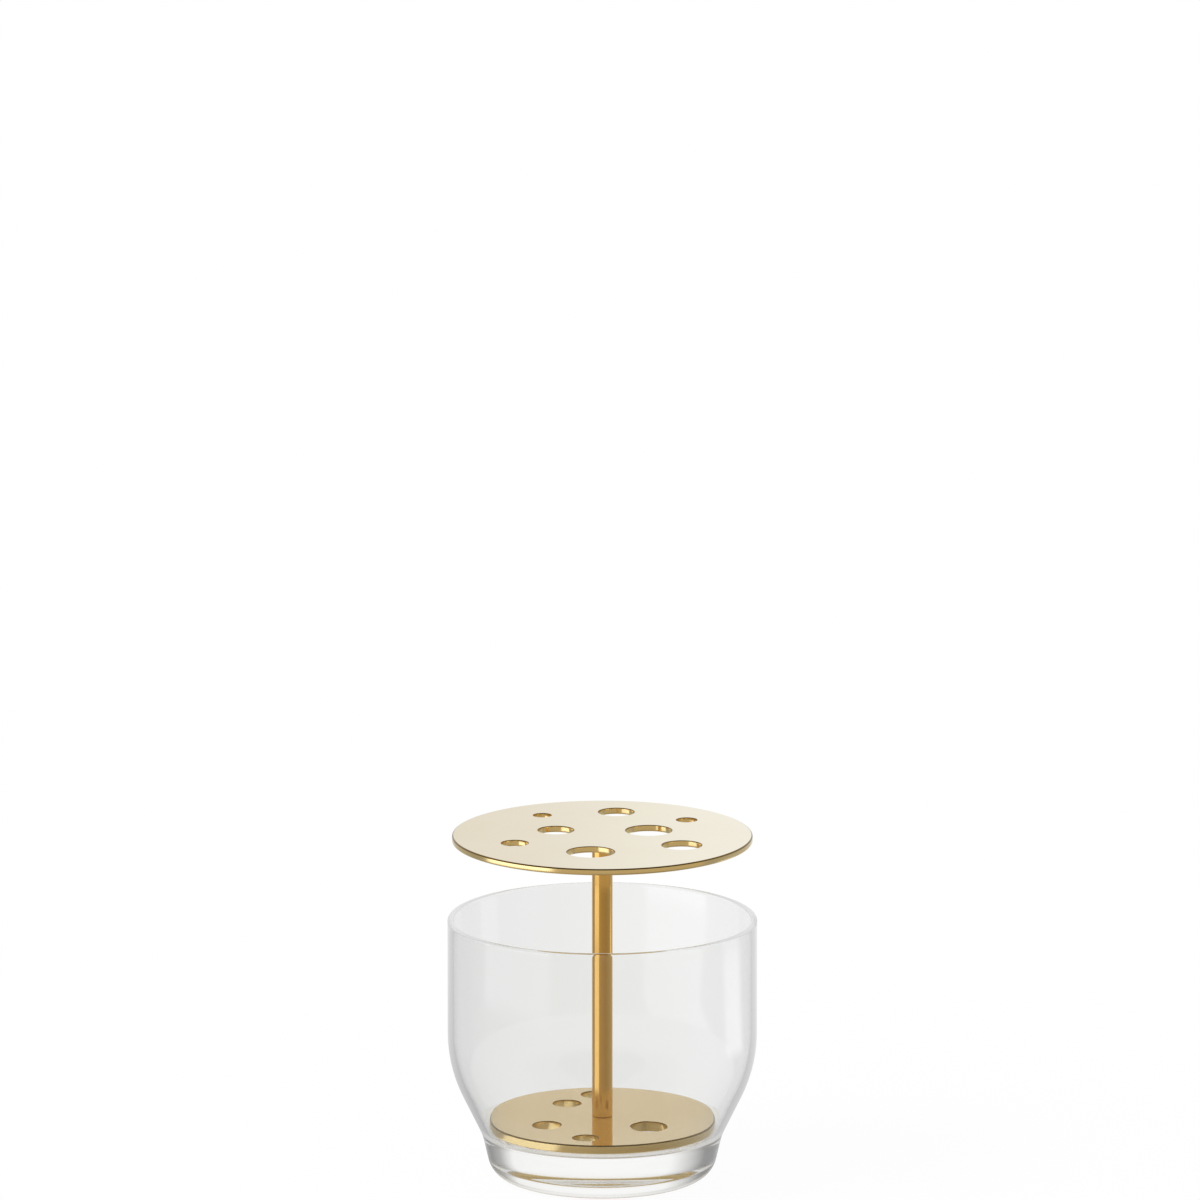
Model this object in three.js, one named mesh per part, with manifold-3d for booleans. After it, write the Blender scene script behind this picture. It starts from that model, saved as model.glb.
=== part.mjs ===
// A flower vase in two parts: a clear glass vessel with a thick base, and a brass insert that stands
// in it and lifts out. The insert is a pierced top plate and a smaller pierced base plate on one post.
// Sizes are in millimetres, +Z is up, and the origin is the centre of the vessel's underside.

import * as THREE from 'three';
import { mergeVertices } from 'three/addons/utils/BufferGeometryUtils.js';
import Module from 'manifold-3d';

// Glass vessel: its outside, and the even wall and flat floor that give its inside
const BODY_RADIUS = 60;
const RIM_HEIGHT = 103;
const SHOULDER_HEIGHT = 44.5;
const SHOULDER_ROUND = 55;
const WAIST_RADIUS = 46.6;
const WAIST_HEIGHT = 17.2;
const WAIST_ROUND = 22;
const FOOT_RADIUS = 42.6;
const FOOT_ROUND = 9.5;
const GLASS_WALL = 2.4;
const FLOOR_HEIGHT = 18.5;
const FLOOR_ROUND = 3.5;

// Brass plates
const TOP_PLATE_RADIUS = 58.2;
const TOP_PLATE_THICKNESS = 2.5;
const TOP_PLATE_RISE = 30.5;
const BASE_PLATE_THICKNESS = 3.5;
const BASE_PLATE_CLEARANCE = 0.5;
const PLATE_EDGE_ROUND = 0.6;
const HOLE_EDGE_BREAK = 0.3;

// Post, with a stud in its upper end and a screw in its lower end
const POST_RADIUS = 4;
const POST_END_BREAK = 0.3;
const STUD_RADIUS = 2;
const STUD_LENGTH = 10;
const SCREW_RADIUS = 2;
const SCREW_LENGTH = 14;
const SCREW_HEAD_RADIUS = 3.8;
const SCREW_HEAD_RIM = 0.3;
const SCREW_SOCKET_RADIUS = 1.44;
const SCREW_SOCKET_DEPTH = 1.5;
const SCREW_RECESS = 0.2;
const THREAD_BREAK = 0.4;
const THREAD_GAP = 0.3;
const BORE_SPARE = 2;

// Clear pads stuck under the base plate
const PAD_COUNT = 4;
const PAD_FIRST_TURN = 45;
const PAD_RADIUS = 4.5;
const PAD_HEIGHT = 1.7;
const PAD_ROUND = 0.8;
const PAD_MARGIN = 3.5;

// Each hole has its direction around the post, in degrees from +X towards +Y, its diameter, and either
// the margin of metal left outside it, to the plate's edge, or the web left inside it, to the post.
const TOP_HOLES = [
  { turn: 21.3, bore: 18, web: 6.3 },
  { turn: 37.1, bore: 8, margin: 13.1 },
  { turn: 81.9, bore: 14, margin: 12.5 },
  { turn: 125.5, bore: 7, margin: 14.5 },
  { turn: 157.4, bore: 14, web: 8.5 },
  { turn: 203.1, bore: 10.5, margin: 16.2 },
  { turn: 261.3, bore: 18.5, margin: 19.4 },
  { turn: 329.9, bore: 15.5, margin: 15 },
];
const BASE_HOLES = [
  { turn: 95, bore: 11, margin: 6 },
  { turn: 127, bore: 11, margin: 15.5 },
  { turn: 210.7, bore: 11, margin: 13.7 },
  { turn: 258.6, bore: 10, margin: 6.7 },
  { turn: 320.2, bore: 14, margin: 13.7 },
];

// Fineness of the facets
const GLASS_SIDES = 64;
const PLATE_SIDES = 64;
const HOLE_SIDES = 28;
const ROD_SIDES = 28;
const SMALL_SIDES = 24;
const HEX_SIDES = 6;
const ARC_SAG = 0.06;
const OVERCUT = 1;
const WELD = 1e-4;

// Sizes that follow from the ones above. The inside of the heel runs parallel to its outside, which
// widens by the flare for each millimetre of height.
const MOUTH_RADIUS = BODY_RADIUS - GLASS_WALL;
const HEEL_FLARE = (BODY_RADIUS - WAIST_RADIUS) / (SHOULDER_HEIGHT - WAIST_HEIGHT);
const HEEL_INSET = GLASS_WALL * Math.hypot(1, HEEL_FLARE);
const INNER_SHOULDER_HEIGHT = SHOULDER_HEIGHT + (HEEL_INSET - GLASS_WALL) / HEEL_FLARE;
const INNER_SHOULDER_ROUND = SHOULDER_ROUND - GLASS_WALL;
const FLOOR_RADIUS = MOUTH_RADIUS - HEEL_FLARE * (INNER_SHOULDER_HEIGHT - FLOOR_HEIGHT);
const BASE_PLATE_RADIUS = FLOOR_RADIUS - BASE_PLATE_CLEARANCE;
const INSERT_HEIGHT = FLOOR_HEIGHT + PAD_HEIGHT;
const TOP_PLATE_HEIGHT = RIM_HEIGHT + TOP_PLATE_RISE - INSERT_HEIGHT;
const POST_LENGTH = TOP_PLATE_HEIGHT - BASE_PLATE_THICKNESS;
const PAD_RING_RADIUS = BASE_PLATE_RADIUS - PAD_MARGIN - PAD_RADIUS;
const SCREW_HEAD_HEIGHT = SCREW_HEAD_RIM + SCREW_HEAD_RADIUS - SCREW_RADIUS;

const wasm = await Module();
wasm.setup();

const clearGlass = new THREE.MeshStandardMaterial({
  color: 0xe8eeec,
  roughness: 0.03,
  metalness: 0,
  transparent: true,
  opacity: 0.35,
});
const polishedBrass = new THREE.MeshStandardMaterial({ color: 0xd8b06a, roughness: 0.16, metalness: 1 });
const brushedBrass = new THREE.MeshStandardMaterial({ color: 0xbf9450, roughness: 0.32, metalness: 1 });
const plainSteel = new THREE.MeshStandardMaterial({ color: 0xb4b5b3, roughness: 0.35, metalness: 1 });
const clearSilicone = new THREE.MeshStandardMaterial({ color: 0xe4e6e2, roughness: 0.4, metalness: 0 });

// Points of an outline in the plane of radius and height, with its corners rounded by arcs that touch
// both sides. A corner with no round stays sharp, and a round is held to half of the shorter side.
// The chords of an arc stay within a small sag of it.
function roundedOutline(corners) {
  const points = [];
  corners.forEach((corner, index) => {
    const tip = new THREE.Vector2(corner.r, corner.z);
    if (!corner.round) {
      points.push(tip);
      return;
    }
    const before = corners[index - 1];
    const after = corners[index + 1];
    const back = new THREE.Vector2(before.r, before.z).sub(tip);
    const ahead = new THREE.Vector2(after.r, after.z).sub(tip);
    const shortest = Math.min(back.length(), ahead.length());
    back.normalize();
    ahead.normalize();
    const half = Math.acos(THREE.MathUtils.clamp(back.dot(ahead), -1, 1)) / 2;
    const reach = Math.min(corner.round / Math.tan(half), shortest / 2);
    const radius = reach * Math.tan(half);
    const centre = back.clone().add(ahead).setLength(radius / Math.sin(half)).add(tip);
    const start = back.clone().multiplyScalar(reach).add(tip).sub(centre).angle();
    const swing = (Math.PI - 2 * half) * Math.sign(ahead.cross(back));
    const stride = 2 * Math.acos(Math.max(0, 1 - ARC_SAG / radius));
    const steps = Math.max(2, Math.ceil(Math.abs(swing) / stride));
    for (let step = 0; step <= steps; step += 1) {
      const angle = start + (swing * step) / steps;
      points.push(new THREE.Vector2(Math.cos(angle), Math.sin(angle)).multiplyScalar(radius).add(centre));
    }
  });
  return points.filter((point, index) => index === 0 || point.distanceTo(points[index - 1]) > WELD);
}

// A piece turned about the Z axis from an outline that starts and ends on the axis.
function turned(corners, sides) {
  return new THREE.LatheGeometry(roundedOutline(corners), sides).rotateX(Math.PI / 2);
}

// A closed geometry as a solid that can be cut: its shared vertices are welded, and the slivers that
// a turned piece has on its axis are left out.
function solidOf(geometry) {
  const bare = geometry.clone();
  bare.deleteAttribute('normal');
  bare.deleteAttribute('uv');
  const welded = mergeVertices(bare, WELD);
  const index = welded.index.array;
  const triangles = [];
  for (let i = 0; i < index.length; i += 3) {
    const face = [index[i], index[i + 1], index[i + 2]];
    if (new Set(face).size === 3) {
      triangles.push(...face);
    }
  }
  const vertProperties = new Float32Array(welded.attributes.position.array);
  const triVerts = new Uint32Array(triangles);
  return new wasm.Manifold(new wasm.Mesh({ numProp: 3, vertProperties, triVerts }));
}

function geometryOf(solid) {
  const mesh = solid.getMesh();
  const geometry = new THREE.BufferGeometry();
  geometry.setAttribute('position', new THREE.BufferAttribute(mesh.vertProperties, 3));
  geometry.setIndex(new THREE.BufferAttribute(mesh.triVerts, 1));
  geometry.computeVertexNormals();
  return geometry;
}

// A round flat disc with softened edges, standing on the plane of zero height.
function disc(radius, thickness, round) {
  const corners = [
    { r: 0, z: 0 },
    { r: radius, z: 0, round },
    { r: radius, z: thickness, round },
    { r: 0, z: thickness },
  ];
  return turned(corners, PLATE_SIDES);
}

// The cutter of one hole through a plate: a drill with a flare at both faces that breaks the edges.
function holeCutter(hole, plateRadius, thickness) {
  const radius = hole.bore / 2;
  const flare = radius + HOLE_EDGE_BREAK + OVERCUT;
  const corners = [
    { r: 0, z: -OVERCUT },
    { r: flare, z: -OVERCUT },
    { r: radius, z: HOLE_EDGE_BREAK },
    { r: radius, z: thickness - HOLE_EDGE_BREAK },
    { r: flare, z: thickness + OVERCUT },
    { r: 0, z: thickness + OVERCUT },
  ];
  const fromPost = hole.web === undefined
    ? plateRadius - hole.margin - radius
    : POST_RADIUS + hole.web + radius;
  const turn = THREE.MathUtils.degToRad(hole.turn);
  return turned(corners, HOLE_SIDES).translate(fromPost * Math.cos(turn), fromPost * Math.sin(turn), 0);
}

function drilledPlate(radius, thickness, holes) {
  let plate = solidOf(disc(radius, thickness, PLATE_EDGE_ROUND));
  for (const hole of holes) {
    plate = plate.subtract(solidOf(holeCutter(hole, radius, thickness)));
  }
  return plate;
}

// One outline for the whole vessel: along the underside, up the foot, waist, shoulder and body, over
// the round lip, and down the inside to the flat floor.
function glassVessel() {
  const corners = [
    { r: 0, z: 0 },
    { r: FOOT_RADIUS, z: 0, round: FOOT_ROUND },
    { r: WAIST_RADIUS, z: WAIST_HEIGHT, round: WAIST_ROUND },
    { r: BODY_RADIUS, z: SHOULDER_HEIGHT, round: SHOULDER_ROUND },
    { r: BODY_RADIUS, z: RIM_HEIGHT, round: GLASS_WALL / 2 },
    { r: MOUTH_RADIUS, z: RIM_HEIGHT, round: GLASS_WALL / 2 },
    { r: MOUTH_RADIUS, z: INNER_SHOULDER_HEIGHT, round: INNER_SHOULDER_ROUND },
    { r: FLOOR_RADIUS, z: FLOOR_HEIGHT, round: FLOOR_ROUND },
    { r: 0, z: FLOOR_HEIGHT },
  ];
  return turned(corners, GLASS_SIDES);
}

// The base plate is also countersunk from below for the screw that holds the post.
function basePlate() {
  const shaft = SCREW_RADIUS + THREAD_GAP;
  const seat = SCREW_HEAD_RADIUS + THREAD_GAP * Math.SQRT2 + SCREW_HEAD_RIM + SCREW_RECESS;
  const countersink = [
    { r: 0, z: -OVERCUT },
    { r: seat + OVERCUT, z: -OVERCUT },
    { r: shaft, z: seat - shaft },
    { r: shaft, z: BASE_PLATE_THICKNESS + OVERCUT },
    { r: 0, z: BASE_PLATE_THICKNESS + OVERCUT },
  ];
  const plate = drilledPlate(BASE_PLATE_RADIUS, BASE_PLATE_THICKNESS, BASE_HOLES);
  return geometryOf(plate.subtract(solidOf(turned(countersink, SMALL_SIDES))));
}

function topPlate() {
  return geometryOf(drilledPlate(TOP_PLATE_RADIUS, TOP_PLATE_THICKNESS, TOP_HOLES));
}

// A solid rod with a blind bore in each end, deeper than the thread that goes into it.
function post() {
  const screwBore = SCREW_RADIUS + THREAD_GAP;
  const screwDepth = SCREW_RECESS + SCREW_LENGTH - BASE_PLATE_THICKNESS + BORE_SPARE;
  const studBore = STUD_RADIUS + THREAD_GAP;
  const studDepth = STUD_LENGTH + BORE_SPARE;
  const corners = [
    { r: 0, z: screwDepth },
    { r: screwBore, z: screwDepth },
    { r: screwBore, z: 0 },
    { r: POST_RADIUS - POST_END_BREAK, z: 0 },
    { r: POST_RADIUS, z: POST_END_BREAK },
    { r: POST_RADIUS, z: POST_LENGTH - POST_END_BREAK },
    { r: POST_RADIUS - POST_END_BREAK, z: POST_LENGTH },
    { r: studBore, z: POST_LENGTH },
    { r: studBore, z: POST_LENGTH - studDepth },
    { r: 0, z: POST_LENGTH - studDepth },
  ];
  return turned(corners, ROD_SIDES);
}

// The stud hangs from the top plate, so its lower end is chamfered to enter the post.
function topStud() {
  const corners = [
    { r: 0, z: -STUD_LENGTH },
    { r: STUD_RADIUS - THREAD_BREAK, z: -STUD_LENGTH },
    { r: STUD_RADIUS, z: THREAD_BREAK - STUD_LENGTH },
    { r: STUD_RADIUS, z: 0 },
    { r: 0, z: 0 },
  ];
  return turned(corners, SMALL_SIDES);
}

// A countersunk screw, head down, with a hexagon socket.
function baseScrew() {
  const corners = [
    { r: 0, z: 0 },
    { r: SCREW_HEAD_RADIUS, z: 0 },
    { r: SCREW_HEAD_RADIUS, z: SCREW_HEAD_RIM },
    { r: SCREW_RADIUS, z: SCREW_HEAD_HEIGHT },
    { r: SCREW_RADIUS, z: SCREW_LENGTH - THREAD_BREAK },
    { r: SCREW_RADIUS - THREAD_BREAK, z: SCREW_LENGTH },
    { r: 0, z: SCREW_LENGTH },
  ];
  const socketHeight = SCREW_SOCKET_DEPTH + OVERCUT;
  const socket = new THREE.CylinderGeometry(SCREW_SOCKET_RADIUS, SCREW_SOCKET_RADIUS, socketHeight, HEX_SIDES)
    .rotateX(Math.PI / 2)
    .translate(0, 0, SCREW_SOCKET_DEPTH - socketHeight / 2);
  return geometryOf(solidOf(turned(corners, SMALL_SIDES)).subtract(solidOf(socket)));
}

// A clear bumper: flat where it is stuck on, rounded where it stands on the glass.
function footPad() {
  const corners = [
    { r: 0, z: -PAD_HEIGHT },
    { r: PAD_RADIUS, z: -PAD_HEIGHT, round: PAD_ROUND },
    { r: PAD_RADIUS, z: 0 },
    { r: 0, z: 0 },
  ];
  return turned(corners, SMALL_SIDES);
}

function piece(name, geometry, material, height) {
  const mesh = new THREE.Mesh(geometry, material);
  mesh.name = name;
  mesh.position.z = height;
  return mesh;
}

// The insert stands on its pads, so its own zero height is the underside of the base plate.
const insert = new THREE.Group();
insert.position.z = INSERT_HEIGHT;
insert.add(piece('base_plate', basePlate(), polishedBrass, 0));
insert.add(piece('base_screw', baseScrew(), plainSteel, SCREW_RECESS));
insert.add(piece('post', post(), brushedBrass, BASE_PLATE_THICKNESS));
insert.add(piece('top_stud', topStud(), plainSteel, TOP_PLATE_HEIGHT));
insert.add(piece('top_plate', topPlate(), polishedBrass, TOP_PLATE_HEIGHT));
for (let number = 0; number < PAD_COUNT; number += 1) {
  const turn = THREE.MathUtils.degToRad(PAD_FIRST_TURN + (360 * number) / PAD_COUNT);
  const pad = piece(`foot_pad_${number + 1}`, footPad(), clearSilicone, 0);
  pad.position.x = PAD_RING_RADIUS * Math.cos(turn);
  pad.position.y = PAD_RING_RADIUS * Math.sin(turn);
  insert.add(pad);
}

const vase = new THREE.Group();
vase.add(piece('glass_vessel', glassVessel(), clearGlass, 0));
vase.add(insert);

export default vase;
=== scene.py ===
import math

import bpy
import numpy as np
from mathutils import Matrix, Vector
from mathutils.geometry import delaunay_2d_cdt


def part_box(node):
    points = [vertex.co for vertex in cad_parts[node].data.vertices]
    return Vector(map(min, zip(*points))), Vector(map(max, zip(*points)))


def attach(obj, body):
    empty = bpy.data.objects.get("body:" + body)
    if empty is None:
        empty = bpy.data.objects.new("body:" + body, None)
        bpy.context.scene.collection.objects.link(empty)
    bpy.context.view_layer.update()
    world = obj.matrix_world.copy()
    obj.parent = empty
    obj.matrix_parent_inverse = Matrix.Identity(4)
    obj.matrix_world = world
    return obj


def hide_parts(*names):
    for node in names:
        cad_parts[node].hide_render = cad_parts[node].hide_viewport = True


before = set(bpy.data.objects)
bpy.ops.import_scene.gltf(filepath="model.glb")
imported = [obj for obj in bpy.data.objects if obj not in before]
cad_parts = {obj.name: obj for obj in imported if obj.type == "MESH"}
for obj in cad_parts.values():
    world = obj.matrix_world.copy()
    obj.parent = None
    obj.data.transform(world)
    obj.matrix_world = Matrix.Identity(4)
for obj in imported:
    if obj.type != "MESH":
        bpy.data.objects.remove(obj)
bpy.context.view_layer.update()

# Glass vessel
# Clear glass blown in a mould: a solid foot, an even wall above it, and a lip melted round in a
# flame. It stands free on its flat underside, and the insert is only set into it.
MM = 0.001
GLASS_WALL = 2.4 * MM
SHOULDER_HEIGHT, SHOULDER_ROUND = 44.5 * MM, 55 * MM
WAIST_RADIUS, WAIST_HEIGHT, WAIST_ROUND = 46.6 * MM, 17.2 * MM, 22 * MM
FOOT_RADIUS, FOOT_ROUND = 42.6 * MM, 9.5 * MM
FLOOR_ROUND = 3.5 * MM
# A hair under half the wall, so that the two rounds of the lip do not meet in one point.
LIP_ROUND = GLASS_WALL / 2.001
GLASS_SIDES = 256
GLASS_TINT = (0.97, 0.975, 0.97, 1)
GLASS_INDEX = 1.5
RIPPLE_DEPTH = 0.2 * MM
ON_AXIS = 1e-9


def rounded_outline(corners, arc_step=4, longest=2 * MM):
    """Points (r, z) of an outline through corners (r, z, round). A round is the arc of that radius that
    touches both sides of its corner: its centre lies on the bisector, and it has one point every
    arc_step degrees. Long straight stretches get a point every longest metres."""
    points = []
    for index, (r, z, bend) in enumerate(corners):
        tip = np.array((r, z))
        if not bend:
            points.append(tip[None])
            continue
        back = np.array(corners[index - 1][:2]) - tip
        ahead = np.array(corners[index + 1][:2]) - tip
        back /= np.linalg.norm(back)
        ahead /= np.linalg.norm(ahead)
        half = math.acos(np.clip(back @ ahead, -1, 1)) / 2
        bisector = (back + ahead) / np.linalg.norm(back + ahead)
        centre = tip + bisector * bend / math.sin(half)
        swing = math.pi - 2 * half
        steps = max(2, math.ceil(math.degrees(swing) / arc_step))
        turn = np.linspace(-swing / 2, swing / 2, steps + 1)
        across = np.array((-bisector[1], bisector[0]))
        across *= np.sign(across @ ahead)
        inward = np.outer(np.cos(turn), bisector)
        sideways = np.outer(np.sin(turn), across)
        points.append(centre - bend * inward + bend * sideways)
    outline = np.concatenate(points)
    stretch = np.linalg.norm(np.diff(outline, axis=0), axis=1)
    parts = np.maximum(1, np.ceil(stretch / longest)).astype(int)
    start = np.repeat(np.arange(len(parts)), parts)
    share = (np.arange(parts.sum()) - np.repeat(np.cumsum(parts) - parts, parts)) / parts[start]
    filled = outline[start] * (1 - share[:, None]) + outline[start + 1] * share[:, None]
    return np.concatenate([filled, outline[-1:]])


def ring_faces(rows, sides):
    """Quads of a grid whose columns close into rings: each joins two neighbours in one row to the two
    in the next row."""
    row, side = np.meshgrid(np.arange(rows - 1), np.arange(sides), indexing="ij")
    ahead = (side + 1) % sides
    this_row = row * sides
    next_row = this_row + sides
    corners = (this_row + side, this_row + ahead, next_row + ahead, next_row + side)
    return np.stack(corners, axis=-1).reshape(-1, 4)


def turned(outline, sides, centre=(0, 0)):
    """Points and faces of an outline turned about the vertical axis through centre: the point (r, z)
    becomes the ring (r cos a, r sin a, z), and an end on the axis is one point with a fan of
    triangles."""
    angle = np.linspace(0, 2 * np.pi, sides, endpoint=False)
    rings = outline[outline[:, 0] > ON_AXIS]
    points = np.empty((len(rings), sides, 3))
    points[..., 0] = centre[0] + rings[:, :1] * np.cos(angle)
    points[..., 1] = centre[1] + rings[:, :1] * np.sin(angle)
    points[..., 2] = rings[:, 1:]
    points = points.reshape(-1, 3)
    faces = ring_faces(len(rings), sides).tolist()
    side = np.arange(sides)
    for end, ring in ((0, side[::-1]), (-1, side + (len(rings) - 1) * sides)):
        if outline[end, 0] <= ON_AXIS:
            pole = np.full(sides, len(points))
            points = np.concatenate([points, [(*centre, outline[end, 1])]])
            faces += np.stack([ring, np.roll(ring, -1), pole], axis=-1).tolist()
    return points, faces


def new_piece(name, points, faces, material, crisp=None):
    """An object at the origin with that mesh, shaded smooth. Edges that turn by more than crisp degrees
    stay crisp."""
    mesh = bpy.data.meshes.new(name)
    mesh.from_pydata(points.tolist(), [], faces)
    mesh.shade_smooth()
    if crisp:
        mesh.set_sharp_from_angle(angle=math.radians(crisp))
    mesh.materials.append(material)
    piece = bpy.data.objects.new(name, mesh)
    bpy.context.scene.collection.objects.link(piece)
    return piece


class Tone:
    """A value that varies over a surface: an output socket of a node tree. Sums, differences and products
    of tones and numbers add Math nodes, and node() adds a node of any other kind."""

    def __init__(self, tree, socket=None):
        self.tree = tree
        self.socket = socket

    def node(self, kind, settings, inputs, output=0):
        """Adds a node of that kind, sets it up, fills or links its inputs, and gives one output."""
        made = self.tree.nodes.new(kind)
        for setting, value in settings.items():
            if setting == "stops":
                ramp = made.color_ramp.elements
                for place, _ in value[len(ramp):]:
                    ramp.new(place)
                for stop, (place, colour) in zip(ramp, value):
                    stop.position = place
                    stop.color = colour
            else:
                setattr(made, setting, value)
        for name, value in inputs.items():
            if isinstance(value, Tone):
                self.tree.links.new(value.socket, made.inputs[name])
            else:
                made.inputs[name].default_value = value
        return Tone(self.tree, made.outputs[output])

    def maths(self, operation, first, second):
        """A Math node on two tones or numbers."""
        return self.node("ShaderNodeMath", {"operation": operation}, {0: first, 1: second})

    def __add__(self, other):
        return self.maths("ADD", self, other)

    __radd__ = __add__

    def __sub__(self, other):
        return self.maths("SUBTRACT", self, other)

    def __rsub__(self, other):
        return self.maths("SUBTRACT", other, self)

    def __mul__(self, other):
        return self.maths("MULTIPLY", self, other)

    __rmul__ = __mul__


def new_finish(name):
    """A material with a Principled surface, and the blank tone that its nodes grow from."""
    finish = bpy.data.materials.new(name)
    finish.use_nodes = True
    return finish, Tone(finish.node_tree), finish.node_tree.nodes["Principled BSDF"]


def feed(surface, name, tone):
    """Links a tone to the input of that name."""
    tone.tree.links.new(tone.socket, surface.inputs[name])


def blend(factor, first, second):
    """A colour on the way from first to second, by a tone from 0 to 1. The node's colours are its inputs
    6 and 7 and its output 2."""
    inputs = {"Factor": factor, 6: first, 7: second}
    return factor.node("ShaderNodeMix", {"data_type": "RGBA"}, inputs, 2)


def smooth(tone, low, high):
    """0 where the tone is low, 1 where it is high, and an even S-curve between."""
    return tone.node("ShaderNodeMapRange", {"interpolation_type": "SMOOTHSTEP"}, {
        "Value": tone, "From Min": low, "From Max": high})


def noise(blank, stretch, detail=3):
    """Smooth noise from 0 to 1 over the piece, with stretch cycles per metre along x, y and z."""
    place = blank.node("ShaderNodeTexCoord", {}, {}, "Object")
    mapped = blank.node("ShaderNodeMapping", {}, {"Vector": place, "Scale": stretch})
    return blank.node("ShaderNodeTexNoise", {}, {"Vector": mapped, "Scale": 1.0, "Detail": detail})


def relief(surface, height, depth, strength):
    """Fine bumps as high as the tone says, up to that depth, which tilt the surface by that strength."""
    bumps = {"Strength": strength, "Distance": depth, "Height": height}
    feed(surface, "Normal", height.node("ShaderNodeBump", {}, bumps))


def clear_glass():
    """Water-clear glass with the slow ripple that a mould leaves in it."""
    finish, blank, surface = new_finish("clear_glass")
    surface.inputs["Base Color"].default_value = GLASS_TINT
    surface.inputs["Roughness"].default_value = 0.0
    surface.inputs["IOR"].default_value = GLASS_INDEX
    surface.inputs["Transmission Weight"].default_value = 1.0
    ripple = noise(blank, (45, 45, 30), detail=1)
    relief(surface, ripple, RIPPLE_DEPTH, strength=0.15)
    return finish


glass_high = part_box("glass_vessel")[1]
body_radius, rim_height = glass_high.x, glass_high.z
floor_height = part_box("foot_pad_1")[0].z
mouth_radius = body_radius - GLASS_WALL
flare = (body_radius - WAIST_RADIUS) / (SHOULDER_HEIGHT - WAIST_HEIGHT)
inner_shoulder = SHOULDER_HEIGHT + GLASS_WALL * (math.hypot(1, flare) - 1) / flare
floor_radius = mouth_radius - flare * (inner_shoulder - floor_height)
glass_outline = rounded_outline([
    (0, 0, 0),
    (FOOT_RADIUS, 0, FOOT_ROUND),
    (WAIST_RADIUS, WAIST_HEIGHT, WAIST_ROUND),
    (body_radius, SHOULDER_HEIGHT, SHOULDER_ROUND),
    (body_radius, rim_height, LIP_ROUND),
    (mouth_radius, rim_height, LIP_ROUND),
    (mouth_radius, inner_shoulder, SHOULDER_ROUND - GLASS_WALL),
    (floor_radius, floor_height, FLOOR_ROUND),
    (0, floor_height, 0),
])
vessel = new_piece("blown_glass_vessel", *turned(glass_outline, GLASS_SIDES), clear_glass())
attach(vessel, "vessel")
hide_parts("glass_vessel")

# Foot pads
# Four clear silicone bumpers, moulded with a soft rim and stuck under the base plate. They keep the
# brass off the glass floor.
PAD_COUNT = 4
PAD_ROUND = 0.8 * MM
PAD_SIDES = 64
# Faces in one place with those of the glass and the brass would let light into the metal.
HAIR_OF_AIR = 0.03 * MM
SILICONE_TONES = (0.86, 0.87, 0.85, 1), (0.93, 0.93, 0.91, 1)
SILICONE_INDEX = 1.41
SILICONE_CLEARNESS = 0.7
FINE_STEP = 0.5 * MM
CRISP_EDGE = 40


def clear_silicone():
    """Milky clear rubber, a little cloudy inside."""
    finish, blank, surface = new_finish("clear_silicone")
    cloud = noise(blank, (500, 500, 500))
    feed(surface, "Base Color", blend(cloud, *SILICONE_TONES))
    feed(surface, "Roughness", 0.25 + cloud * 0.15)
    surface.inputs["IOR"].default_value = SILICONE_INDEX
    surface.inputs["Transmission Weight"].default_value = SILICONE_CLEARNESS
    return finish


silicone = clear_silicone()
for number in range(1, PAD_COUNT + 1):
    pad_low, pad_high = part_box(f"foot_pad_{number}")
    pad_middle = (pad_low + pad_high) / 2
    pad_radius = (pad_high.x - pad_low.x) / 2
    pad_bottom = pad_low.z + HAIR_OF_AIR
    pad_top = pad_high.z - HAIR_OF_AIR
    pad_outline = rounded_outline([
        (0, pad_bottom, 0),
        (pad_radius, pad_bottom, PAD_ROUND),
        (pad_radius, pad_top, 0),
        (0, pad_top, 0),
    ], arc_step=10, longest=FINE_STEP)
    pad_mesh = turned(pad_outline, PAD_SIDES, pad_middle.xy)
    pad = new_piece(f"silicone_pad_{number}", *pad_mesh, silicone, CRISP_EDGE)
    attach(pad, "insert")
    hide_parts(f"foot_pad_{number}")

# Base plate
# A round plate cut from brass sheet, pierced with five round holes and polished. It stands on the
# pads, and is countersunk from below for the screw that carries the post.
PLATE_EDGE_ROUND = 0.6 * MM
HOLE_EDGE_ROUND = 0.3 * MM
EDGE_STRIP = 0.3 * MM
RIM_SIDES, HOLE_SIDES = 360, 96
NET_STEP = 2.2 * MM
SHANK_BORE = 2.3 * MM
COUNTERSINK_RADIUS = 4.72 * MM
# Each hole: degrees from +X towards +Y, then its bore and the metal outside it, in millimetres.
BASE_HOLES = (
    (95, 11, 6),
    (127, 11, 15.5),
    (210.7, 11, 13.7),
    (258.6, 10, 6.7),
    (320.2, 14, 13.7),
)
# The faces' brass on their shaded and their lit side: a painted reflection fades across each face from
# one to the other.
BASE_SHADED_SIDE, BASE_LIT_SIDE = (0.58, 0.42, 0.17, 1), (0.65, 0.49, 0.24, 1)
CUT_BRASS = (0.82, 0.64, 0.32, 1)
# Painted dark reflection along the upper rounded edges of the plates and their holes.
PAINTED_DARK_REFLECTION = (0.15, 0.09, 0.02, 1)
# The span along x over which the painted reflection goes from the shaded to the lit side.
PAINTED_REFLECTION_ACROSS = (-60 * MM, 60 * MM)
CLOUD_SHARE = 0.3
FLAT_FACE = (0.6, 0.97)
BROKEN_EDGE = (0.005, 0.05)
FACING_UP = (0, 0.1)
CUT_ROUGHNESS, FACE_ROUGHNESS, HAZE_ROUGHNESS = 0.14, 0.05, 0.05
HAZE_DEPTH = 0.01 * MM


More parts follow.
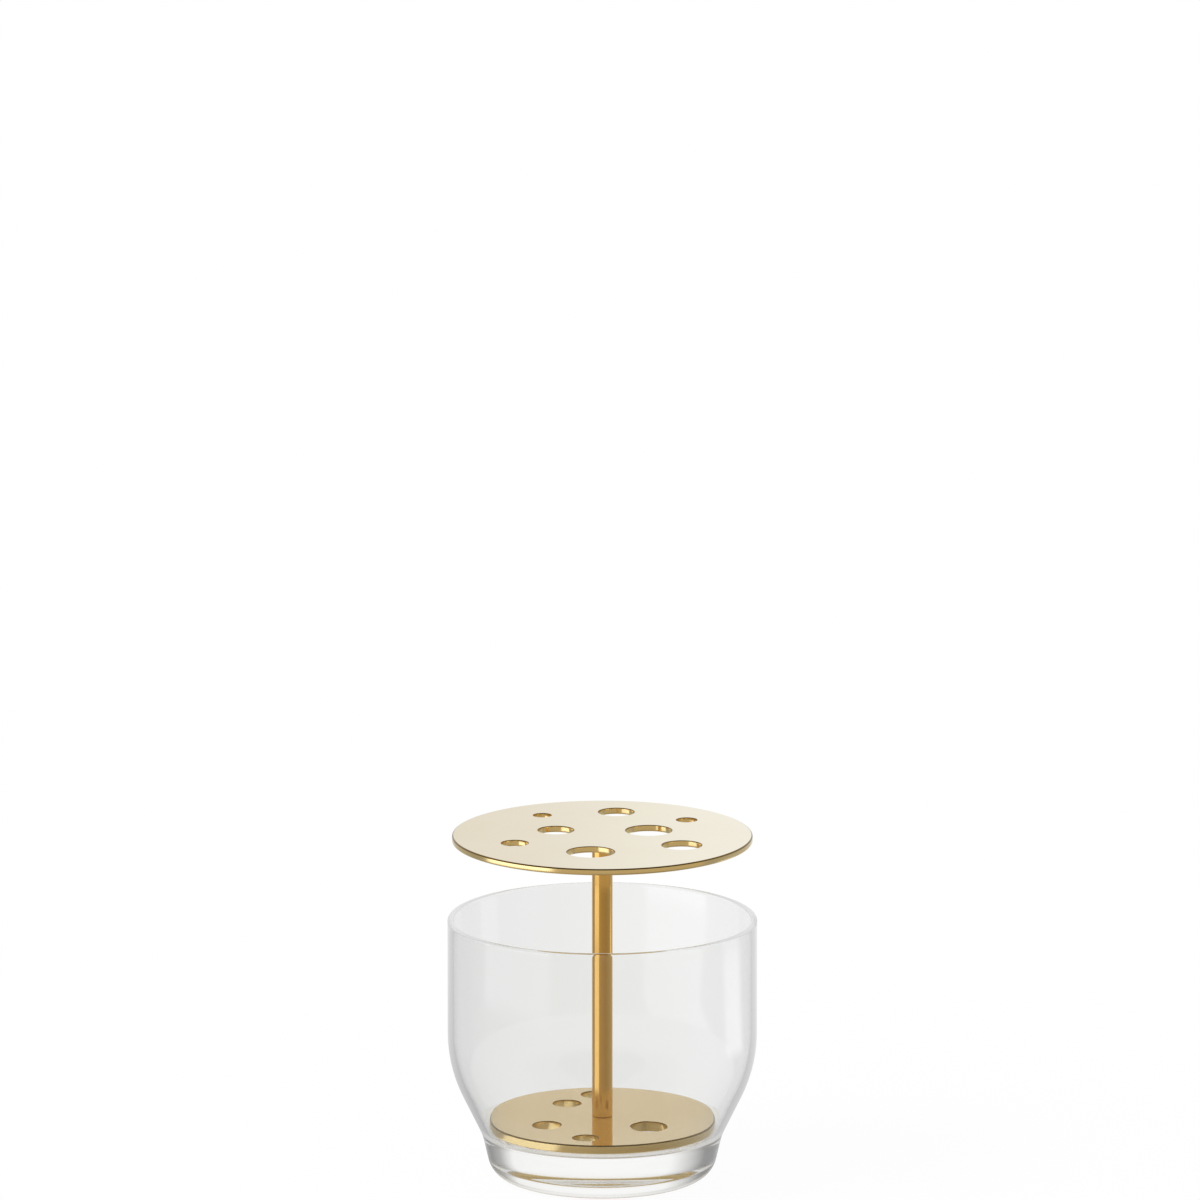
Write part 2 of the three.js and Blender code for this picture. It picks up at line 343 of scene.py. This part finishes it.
def hole(turn, bore, margin, plate_radius, low, high):
    """The middle of a hole, and its outline from the plate's upper face down to its lower face with
    soft edges. It lies turn degrees from +X towards +Y, with that margin of metal outside it."""
    radius = bore * MM / 2
    from_post = plate_radius - margin * MM - radius
    angle = math.radians(turn)
    face = radius + HOLE_EDGE_ROUND + EDGE_STRIP
    wall = rounded_outline([
        (face, high, 0),
        (radius, high, HOLE_EDGE_ROUND),
        (radius, low, HOLE_EDGE_ROUND),
        (face, low, 0),
    ], arc_step=15, longest=FINE_STEP)
    return (from_post * math.cos(angle), from_post * math.sin(angle)), wall


def pierced_plate(radius, low, high, holes):
    """Points and faces of a round plate with holes. The rim and each hole are outlines turned about
    their own axes. Between their rings, each flat face is a Delaunay net over the rings and an even
    spiral of points, where point k lies at the golden angle times k and at a radius that grows as
    the root of k."""
    face = radius - PLATE_EDGE_ROUND - EDGE_STRIP
    rim = rounded_outline([
        (face, low, 0),
        (radius, low, PLATE_EDGE_ROUND),
        (radius, high, PLATE_EDGE_ROUND),
        (face, high, 0),
    ], arc_step=12, longest=FINE_STEP)
    points, faces = turned(rim, RIM_SIDES)
    upper = [np.arange(len(points) - RIM_SIDES, len(points))]
    lower = [np.arange(RIM_SIDES)]
    for place, wall in holes:
        ring_points, ring_quads = turned(wall, HOLE_SIDES, place)
        faces += (np.array(ring_quads) + len(points)).tolist()
        upper.append(np.arange(HOLE_SIDES) + len(points))
        points = np.concatenate([points, ring_points])
        lower.append(np.arange(len(points) - HOLE_SIDES, len(points)))
    count = np.arange(int((radius / NET_STEP) ** 2 * np.pi))
    reach = NET_STEP * np.sqrt((count + 0.5) / np.pi)
    spin = count * np.pi * (3 - math.sqrt(5))
    spiral = np.stack([reach * np.cos(spin), reach * np.sin(spin)], axis=-1)
    for rings, height, order in ((upper, high, 1), (lower, low, -1)):
        middles = [(place, np.hypot(*(points[ring[0], :2] - place)))
                   for (place, _), ring in zip(holes, rings[1:])]
        clear = np.hypot(*spiral.T) < face - NET_STEP / 2
        for place, hole_reach in middles:
            clear &= np.hypot(*(spiral - place).T) > hole_reach + NET_STEP / 2
        inner = np.column_stack([spiral[clear], np.full(clear.sum(), height)])
        index = np.concatenate(rings + [np.arange(len(inner)) + len(points)])
        points = np.concatenate([points, inner])
        starts = np.cumsum([0] + [len(ring) for ring in rings[:-1]])
        loops = [start + np.arange(len(ring)) for start, ring in zip(starts, rings)]
        edges = np.concatenate([np.stack([loop, np.roll(loop, -1)], axis=-1) for loop in loops])
        net = delaunay_2d_cdt(points[index, :2].tolist(), edges.tolist(), [], 1, 1e-9)
        source = index[np.array([same[0] for same in net[3]])]
        triangles = source[np.array(net[2])]
        middle = points[triangles, :2].mean(axis=1)
        keep = np.ones(len(triangles), bool)
        for place, hole_reach in middles:
            keep &= np.hypot(*(middle - place).T) > hole_reach * 0.999
        faces += triangles[keep][:, ::order].tolist()
    return points, faces


def polished_brass(name, shaded_side, bright):
    """Polished brass. Its faces carry a painted reflection, a darker tone on one side fading to a lighter
    one on the other, mixed with a random cloud of tone. The cut edges and the holes are a deeper yellow,
    a painted dark reflection lines the upper rounded edges, and all of it has the fine haze that buffing
    leaves."""
    finish, blank, surface = new_finish(name)
    cloud = noise(blank, (22, 22, 22))
    haze = noise(blank, (900, 150, 900))
    place = blank.node("ShaderNodeTexCoord", {}, {}, "Object")
    # Painted reflection: darker towards -x, lighter towards +x.
    across = smooth(blank.node("ShaderNodeSeparateXYZ", {}, {"Vector": place}, "X"), *PAINTED_REFLECTION_ACROSS)
    normal = blank.node("ShaderNodeTexCoord", {}, {}, "Normal")
    upright = blank.node("ShaderNodeSeparateXYZ", {}, {"Vector": normal}, "Z")
    level = upright * upright
    flat = smooth(level, *FLAT_FACE)
    # Painted dark reflection on the rounded edges that face up.
    painted_dark_edge = smooth(level * (1 - level), *BROKEN_EDGE) * smooth(upright, *FACING_UP)
    # The face colour: the painted reflection, with a random cloud of tone mixed in.
    painted_reflection_and_cloud = blend(across * (1 - CLOUD_SHARE) + cloud * CLOUD_SHARE, shaded_side, bright)
    feed(surface, "Base Color", blend(painted_dark_edge, blend(flat, CUT_BRASS, painted_reflection_and_cloud), PAINTED_DARK_REFLECTION))
    gloss = CUT_ROUGHNESS - flat * (CUT_ROUGHNESS - FACE_ROUGHNESS)
    feed(surface, "Roughness", gloss + haze * HAZE_ROUGHNESS)
    surface.inputs["Metallic"].default_value = 1.0
    relief(surface, haze, HAZE_DEPTH, strength=0.03)
    return finish


base_brass = polished_brass("base_brass", BASE_SHADED_SIDE, BASE_LIT_SIDE)
base_low, base_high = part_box("base_plate")
base_holes = [hole(*place, base_high.x, base_low.z, base_high.z) for place in BASE_HOLES]
screw_hole = rounded_outline([
    (SHANK_BORE + EDGE_STRIP, base_high.z, 0),
    (SHANK_BORE, base_high.z, 0),
    (SHANK_BORE, base_low.z + COUNTERSINK_RADIUS - SHANK_BORE, 0),
    (COUNTERSINK_RADIUS, base_low.z, 0),
    (COUNTERSINK_RADIUS + EDGE_STRIP, base_low.z, 0),
], longest=FINE_STEP)
base_holes.append(((0.0, 0.0), screw_hole))
base_mesh = pierced_plate(base_high.x, base_low.z, base_high.z, base_holes)
base_plate = new_piece("pierced_base_plate", *base_mesh, base_brass, CRISP_EDGE)
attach(base_plate, "insert")
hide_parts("base_plate")

# Post
# A plain brass rod, drawn and rubbed lengthwise, with a tapped blind bore in each end. The screw
# below and the stud above pull both plates square against its ends.
POST_END_ROUND = 0.3 * MM
POST_SIDES = 128
SCREW_BORE_DEPTH = 12.7 * MM
STUD_BORE_DEPTH = 12 * MM
RUBBED_TONES = (0.76, 0.46, 0.13, 1), (0.84, 0.54, 0.19, 1)
LINE_DEPTH = 0.02 * MM


def rubbed_brass():
    """Brass rubbed along its length: fine upright lines in its gloss and its colour."""
    finish, blank, surface = new_finish("rubbed_brass")
    lines = noise(blank, (2600, 2600, 18), detail=4)
    cloud = noise(blank, (90, 90, 25))
    tint = cloud * 0.5 + lines * 0.5
    feed(surface, "Base Color", blend(tint, *RUBBED_TONES))
    feed(surface, "Roughness", 0.08 + lines * 0.12)
    surface.inputs["Metallic"].default_value = 1.0
    relief(surface, lines, LINE_DEPTH, strength=0.1)
    return finish


post_low, post_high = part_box("post")
screw_bore_end = post_low.z + SCREW_BORE_DEPTH
stud_bore_end = post_high.z - STUD_BORE_DEPTH
post_outline = rounded_outline([
    (0, screw_bore_end, 0),
    (SHANK_BORE, screw_bore_end, 0),
    (SHANK_BORE, post_low.z, 0),
    (post_high.x, post_low.z, POST_END_ROUND),
    (post_high.x, post_high.z, POST_END_ROUND),
    (SHANK_BORE, post_high.z, 0),
    (SHANK_BORE, stud_bore_end, 0),
    (0, stud_bore_end, 0),
], arc_step=15)
post = new_piece("rubbed_post", *turned(post_outline, POST_SIDES), rubbed_brass(), CRISP_EDGE)
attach(post, "insert")
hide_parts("post")

# Base screw and top stud
# An M4 countersunk steel screw with a hexagon socket comes up through the base plate, and an M4
# stud is soldered under the top plate. Both are rolled threads that run into the post.
THREAD_PITCH = 0.7 * MM
THREAD_DEPTH = 0.4 * MM
THREAD_SIDES = 96
THREAD_ANGLE = np.linspace(0, 2 * np.pi, THREAD_SIDES, endpoint=False)
SHANK_RADIUS = 2 * MM
TIP_ROUND = 0.4 * MM
SCREW_HEAD_RIM = 0.3 * MM
HEAD_BREAK = 0.05 * MM
SOCKET_RADIUS = 1.44 * MM
SOCKET_DEPTH = 1.5 * MM
SOCKET_BREAK = 0.1 * MM
SCREW_NECK, SCREW_THREAD_START = 0.4 * MM, 0.6 * MM
STUD_NECK = 1 * MM
SCREW_ROWS, STUD_ROWS = 130, 120
CRISP_THREAD = 35
STEEL_TONES = (0.62, 0.63, 0.63, 1), (0.74, 0.74, 0.73, 1)


def threaded(profile, thread_low, thread_high):
    """Points and faces of a stack of rings (radius, height), closed at both ends, where a radius is one
    number or one for each side. Between two heights it carries a thread: there the radius drops by the
    depth times a triangle wave of height / pitch - angle / turn, which fades in and out over one
    pitch."""
    radius = np.array([np.broadcast_to(reach, THREAD_SIDES) for reach, _ in profile])
    height = np.array([np.full(THREAD_SIDES, level) for _, level in profile])
    wave = np.abs(((height / THREAD_PITCH - THREAD_ANGLE / (2 * np.pi)) % 1) * 2 - 1)
    fade = np.clip(np.minimum(height - thread_low, thread_high - height) / THREAD_PITCH, 0, 1)
    cut = radius - THREAD_DEPTH * wave * fade
    points = np.stack([cut * np.cos(THREAD_ANGLE), cut * np.sin(THREAD_ANGLE), height], axis=-1)
    points = points.reshape(-1, 3)
    faces = ring_faces(len(radius), THREAD_SIDES).tolist()
    bottom = np.arange(THREAD_SIDES)
    top = bottom + (len(radius) - 1) * THREAD_SIDES
    bottom_pole = np.full(THREAD_SIDES, len(points))
    faces += np.stack([np.roll(bottom, -1), bottom, bottom_pole], axis=-1).tolist()
    faces += np.stack([top, np.roll(top, -1), bottom_pole + 1], axis=-1).tolist()
    poles = np.array([(0, 0, height[0, 0]), (0, 0, height[-1, 0])])
    return np.concatenate([points, poles]), faces


def plain_steel():
    """Zinc-bright steel with a fine turned grain."""
    finish, blank, surface = new_finish("plain_steel")
    grain = noise(blank, (800, 800, 3000))
    feed(surface, "Base Color", blend(grain, *STEEL_TONES))
    feed(surface, "Roughness", 0.22 + grain * 0.16)
    surface.inputs["Metallic"].default_value = 1.0
    return finish


steel = plain_steel()
# The distance from the middle of a hexagon to its side, all round.
hexagon = SOCKET_RADIUS * math.cos(math.pi / 6) / np.cos((THREAD_ANGLE % (np.pi / 3)) - np.pi / 6)
screw_low, screw_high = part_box("base_screw")
head_radius = screw_high.x
head_top = screw_low.z + SCREW_HEAD_RIM + head_radius - SHANK_RADIUS
screw_tip = screw_high.z - TIP_ROUND
screw_profile = [
    (hexagon, screw_low.z + SOCKET_DEPTH),
    (hexagon, screw_low.z + SOCKET_BREAK),
    (hexagon + SOCKET_BREAK, screw_low.z),
    (head_radius - HEAD_BREAK, screw_low.z),
    (head_radius, screw_low.z + HEAD_BREAK),
    (head_radius, screw_low.z + SCREW_HEAD_RIM),
    (SHANK_RADIUS, head_top),
    *((SHANK_RADIUS, level) for level in np.linspace(head_top + SCREW_NECK, screw_tip, SCREW_ROWS)),
    (SHANK_RADIUS - TIP_ROUND, screw_high.z),
]
screw_mesh = threaded(screw_profile, head_top + SCREW_THREAD_START, screw_tip)
screw = new_piece("countersunk_screw", *screw_mesh, steel, CRISP_THREAD)
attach(screw, "insert")
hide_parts("base_screw")

stud_low, stud_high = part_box("top_stud")
stud_tip = stud_low.z + TIP_ROUND
stud_profile = [
    (stud_high.x - TIP_ROUND, stud_low.z),
    *((stud_high.x, level) for level in np.linspace(stud_tip, stud_high.z, STUD_ROWS)),
]
stud_mesh = threaded(stud_profile, stud_tip, stud_high.z - STUD_NECK)
stud = new_piece("threaded_stud", *stud_mesh, steel, CRISP_THREAD)
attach(stud, "insert")
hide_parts("top_stud")

# Top plate
# The wide brass plate above the rim, cut and polished like the base plate, with eight holes of
# several sizes. The stud soldered under its middle leaves its upper face bare.
TOP_HOLES = (
    (21.3, 18, 29.9),
    (37.1, 8, 13.1),
    (81.9, 14, 12.5),
    (125.5, 7, 14.5),
    (157.4, 14, 31.7),
    (203.1, 10.5, 16.2),
    (261.3, 18.5, 19.4),
    (329.9, 15.5, 15),
)
# The top plate's brass on its shaded and its lit side, paler than the base plate's, with the same painted
# reflection across its face.
TOP_SHADED_SIDE, TOP_LIT_SIDE = (0.66, 0.56, 0.37, 1), (0.87, 0.82, 0.66, 1)

top_brass = polished_brass("top_brass", TOP_SHADED_SIDE, TOP_LIT_SIDE)
top_low, top_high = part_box("top_plate")
top_holes = [hole(*place, top_high.x, top_low.z, top_high.z) for place in TOP_HOLES]
top_mesh = pierced_plate(top_high.x, top_low.z, top_high.z, top_holes)
top_plate = new_piece("pierced_top_plate", *top_mesh, top_brass, CRISP_EDGE)
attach(top_plate, "insert")
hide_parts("top_plate")

# Floor and background
# White paper in a white studio, with a card on either side, a tan board in front, dark flags beside
# the far wall and an unlit ceiling. Only the brass and the glass show those: to the eye the floor
# is white, with a faint shadow round the foot.
FLOOR_SIDE = 30.0
AIR_GAP = 0.2 * MM
PAPER = 0.9
SHADOW, SHADOW_REACH = 0.03, (0.10, 0.45)
# Turns about the vase are in degrees, 0 in front, and distances from it in metres.
CARD_FADE = 7
CARD_REACH = 0.50
LEFT_CARD, LEFT_CARD_EDGE = (34, 98), CARD_REACH / 10
LEFT_CARD_IN_BRASS, LEFT_CARD_IN_GLASS = 2.0, 1.3
# In glass the left card starts nearer, by this for the square of the number of faces passed.
CARD_NEARER = CARD_REACH / 12
RIGHT_CARD, RIGHT_CARD_LIGHT = (-122, -94), 1.1
RIGHT_CARD_NEAR, RIGHT_CARD_FAR = (0.20, 0.275), (0.50, 0.40)
FRONT_BOARD, FRONT_BOARD_EDGE, FRONT_BOARD_LIGHT = (-85, 40), (0.45, 0.50), 0.60
STRAIGHT_LEFT, STRAIGHT_RIGHT, STRAIGHT_ACROSS = 0.88, 0.955, (-0.06, 0.06)
FAR_FLOOR = (0.8, 2.0)
GUIDED_LIGHT = 0.72


def grey(level):
    """A neutral colour of that level."""
    return (level, level, level, 1)


def tan(level):
    """A pale brown: red of that level, with less green and least blue."""
    return (level, level * 0.88, level * 0.68, 1)


FLOOR_TONES = (
    (-180, grey(0.96)),
    (-172, grey(0.95)),
    (-162, grey(0.86)),
    (-150, grey(0.70)),
    (-135, grey(0.58)),
    (-110, grey(0.50)),
    (-85, grey(0.42)),
    (-40, tan(0.36)),
    (0, tan(0.42)),
    (45, tan(0.54)),
    (110, grey(0.40)),
    (130, grey(0.50)),
    (150, grey(0.62)),
    (165, grey(0.84)),
    (172, grey(0.90)),
    (180, grey(0.96)),
)
FLAG_TONES = (
    (-180, grey(1.0)),
    (-142, grey(0.97)),
    (-130, grey(0.42)),
    (-115, grey(0.15)),
    (-60, grey(0.15)),
    (-40, grey(1.0)),
    (40, grey(1.0)),
    (60, grey(0.15)),
    (115, grey(0.15)),
    (130, grey(0.25)),
    (142, grey(0.62)),
    (155, grey(1.0)),
    (180, grey(1.0)),
)


def light_path(blank, output):
    """One fact about the light ray that meets the surface."""
    return blank.node("ShaderNodeLightPath", {}, {}, output)


def rays(blank, *kinds):
    """1 for rays of any of those kinds."""
    total = sum(light_path(blank, f"Is {kind} Ray") for kind in kinds)
    return blank.node("ShaderNodeClamp", {}, {"Value": total})


def straight(blank):
    """1 for sight straight through the glass, with no reflection on its way."""
    unreflected = smooth(light_path(blank, "Glossy Depth"), 1, 0)
    return unreflected * smooth(light_path(blank, "Transmission Depth"), 0, 1)


def through_foot(blank):
    """1 for light that has passed one to three faces, as it does when the foot or the lip throws it
    back inside."""
    passed = light_path(blank, "Transmission Depth")
    return smooth(passed, 0, 1) * smooth(passed, 4, 3)


def guided(blank):
    """1 for light that has run on inside the glass, thrown back from face to face."""
    in_one_wall = smooth(light_path(blank, "Glossy Depth"), 1, 2) * through_foot(blank)
    return blank.maths("MAXIMUM", in_one_wall, smooth(light_path(blank, "Ray Depth"), 6, 8))


def turn_about(blank, place):
    """Degrees of turn of a place about the vase: 0 in front, rising towards the left, 180 behind."""
    x = blank.node("ShaderNodeSeparateXYZ", {}, {"Vector": place}, "X")
    y = blank.node("ShaderNodeSeparateXYZ", {}, {"Vector": place}, "Y")
    return blank.maths("ARCTAN2", x * -1, y * -1) * (180 / math.pi)


def between(turn, start, end):
    """1 between two turns, with a soft edge inside each."""
    return smooth(turn, start, start + CARD_FADE) * smooth(turn, end, end - CARD_FADE)


def tone_round(blank, place, tones):
    """The tone of the studio all round, from behind over the right, the front and the left."""
    stops = [(degrees / 360 + 0.5, colour) for degrees, colour in tones]
    share = turn_about(blank, place) * (1 / 360) + 0.5
    return blank.node("ShaderNodeValToRGB", {"stops": stops}, {"Fac": share})


def reflected_floor(blank, place, away):
    """The floor as brass and glass show it: the tone of the studio, with the board, the two cards and the
    flags laid over it in turn. Straight through the glass it is pale, and light that the glass has
    guided is an even grey."""
    passed = light_path(blank, "Transmission Depth")
    turn = turn_about(blank, place)
    around = tone_round(blank, place, FLOOR_TONES)
    board = between(turn, *FRONT_BOARD) * smooth(away, *FRONT_BOARD_EDGE) * smooth(passed, 1, 0)
    around = blend(board, around, tan(FRONT_BOARD_LIGHT))
    start = CARD_REACH - passed * passed * CARD_NEARER
    left_card = between(turn, *LEFT_CARD) * smooth(away - start, 0, LEFT_CARD_EDGE)
    left_light = blend(smooth(passed, 0, 1), grey(LEFT_CARD_IN_BRASS), grey(LEFT_CARD_IN_GLASS))
    around = blend(left_card, around, left_light)
    right_card = between(turn, *RIGHT_CARD) * smooth(away, *RIGHT_CARD_FAR)
    right_card = right_card * smooth(away, *RIGHT_CARD_NEAR) * smooth(passed, 3, 2)
    around = blend(right_card, around, grey(RIGHT_CARD_LIGHT))
    x = blank.node("ShaderNodeSeparateXYZ", {}, {"Vector": place}, "X")
    pale = blend(smooth(x, *STRAIGHT_ACROSS), grey(STRAIGHT_LEFT), grey(STRAIGHT_RIGHT))
    around = blend(straight(blank), around, pale)
    flags = smooth(away, *FAR_FLOOR) * through_foot(blank)
    around = blend(flags, around, tone_round(blank, place, FLAG_TONES))
    return blend(guided(blank), around, grey(GUIDED_LIGHT))


def white_floor():
    """White paper that glows to the eye, and shows its own shade only near the foot. From below it is
    clear."""
    finish, blank, surface = new_finish("white_floor")
    place = blank.node("ShaderNodeTexCoord", {}, {}, "Object")
    away = blank.node("ShaderNodeVectorMath", {"operation": "LENGTH"}, {0: place}, "Value")
    eye = rays(blank, "Camera")
    shown = blend(eye, reflected_floor(blank, place, away), grey(1.0))
    glow = blank.node("ShaderNodeEmission", {}, {"Color": shown, "Strength": 1.0})
    paper = blank.node("ShaderNodeBsdfDiffuse", {}, {"Color": grey(PAPER)})
    lit = (1 - SHADOW) + smooth(away, *SHADOW_REACH) * SHADOW
    white = blank.maths("MAXIMUM", 1 - eye, lit) * rays(blank, "Camera", "Glossy", "Transmission")
    sheet = blank.node("ShaderNodeMixShader", {}, {0: white, 1: paper, 2: glow})
    behind = blank.node("ShaderNodeNewGeometry", {}, {}, "Backfacing")
    clear = blank.node("ShaderNodeBsdfTransparent", {}, {})
    both = blank.node("ShaderNodeMixShader", {}, {0: behind, 1: sheet, 2: clear})
    feed(blank.tree.nodes["Material Output"], "Surface", both)
    return finish


floor_corners = np.array([(-1, -1, 0), (1, -1, 0), (1, 1, 0), (-1, 1, 0)]) * FLOOR_SIDE / 2
floor_corners -= (0, 0, AIR_GAP)
floor = new_piece("white_floor", floor_corners, [(0, 1, 2, 3)], white_floor())

WALL_IN_FRONT, WALL_BEHIND, WALL_TURN = 0.85, 1.0, (-0.5, 0.5)
CEILING_IN_FRONT, CEILING_BEHIND, CEILING_TURN = 0.14, 0.85, (-0.15, 0.15)
CEILING_EDGE = (0.4, 0.6)
SOFT_LIGHT = 0.55
world = bpy.data.worlds.new("white_studio")
world.use_nodes = True
bpy.context.scene.world = world
sky = Tone(world.node_tree)
way = sky.node("ShaderNodeTexCoord", {}, {}, "Generated")
to_back = sky.node("ShaderNodeSeparateXYZ", {}, {"Vector": way}, "Y")
up = sky.node("ShaderNodeSeparateXYZ", {}, {"Vector": way}, "Z")
lit_wall = blend(smooth(to_back, *WALL_TURN), grey(WALL_IN_FRONT), grey(WALL_BEHIND))
walls = blend(through_foot(sky), lit_wall, tone_round(sky, way, FLAG_TONES))
ceiling = blend(smooth(to_back, *CEILING_TURN), grey(CEILING_IN_FRONT), grey(CEILING_BEHIND))
room = blend(smooth(up, *CEILING_EDGE), walls, ceiling)
room = blend(guided(sky), room, grey(GUIDED_LIGHT))
shown = blend(rays(sky, "Camera"), room, grey(1.0))
soft_light = sky.node("ShaderNodeBackground", {}, {"Color": grey(1.0), "Strength": SOFT_LIGHT})
studio_wall = sky.node("ShaderNodeBackground", {}, {"Color": shown, "Strength": 1.0})
seen = rays(sky, "Camera", "Glossy", "Transmission")
studio = sky.node("ShaderNodeMixShader", {}, {0: seen, 1: soft_light, 2: studio_wall})
feed(sky.tree.nodes["World Output"], "Surface", studio)

# Lamps and camera
# One broad soft lamp from the upper left, and a long lens far off, looking down a little as in the
# photograph, with the vase low in a tall empty frame.
LAMP_SIDE, LAMP_POWER = 0.8, 20
LAMP_PLACE = Vector((-1.0, -0.4, 1.3))
LAMP_AIM = Vector((0, 0, 0.06))
VIEW_ELEVATION = math.radians(12.4)
VIEW_DISTANCE = 6.0
VIEW_MIDDLE = Vector((-0.9 * MM, 0, 228.9 * MM))
FRAME_WIDTH = 462.8 * MM
FILM_WIDTH = 36
# Enough for light that runs on inside the lip to leave it.
BOUNCES = 1024

lamp_data = bpy.data.lights.new("soft_box", "AREA")
lamp_data.shape = "RECTANGLE"
lamp_data.size = LAMP_SIDE
lamp_data.size_y = LAMP_SIDE
lamp_data.energy = LAMP_POWER
lamp = bpy.data.objects.new("soft_box", lamp_data)
lamp.location = LAMP_PLACE
lamp.visible_glossy = False
lamp.visible_transmission = False
lamp.rotation_mode = "QUATERNION"
lamp.rotation_quaternion = (LAMP_AIM - LAMP_PLACE).to_track_quat("-Z", "Y")
bpy.context.scene.collection.objects.link(lamp)

camera_data = bpy.data.cameras.new("camera")
camera_data.sensor_width = FILM_WIDTH
camera_data.lens = FILM_WIDTH * VIEW_DISTANCE / FRAME_WIDTH
camera_data.clip_end = 100
camera = bpy.data.objects.new("camera", camera_data)
sight = Vector((0, math.cos(VIEW_ELEVATION), -math.sin(VIEW_ELEVATION)))
camera.location = VIEW_MIDDLE - sight * VIEW_DISTANCE
camera.rotation_mode = "QUATERNION"
camera.rotation_quaternion = sight.to_track_quat("-Z", "Y")
bpy.context.scene.collection.objects.link(camera)
bpy.context.scene.camera = camera
bpy.context.scene.cycles.max_bounces = BOUNCES
bpy.context.scene.cycles.glossy_bounces = BOUNCES
bpy.context.scene.cycles.transmission_bounces = BOUNCES
bpy.context.scene.view_settings.view_transform = "Standard"
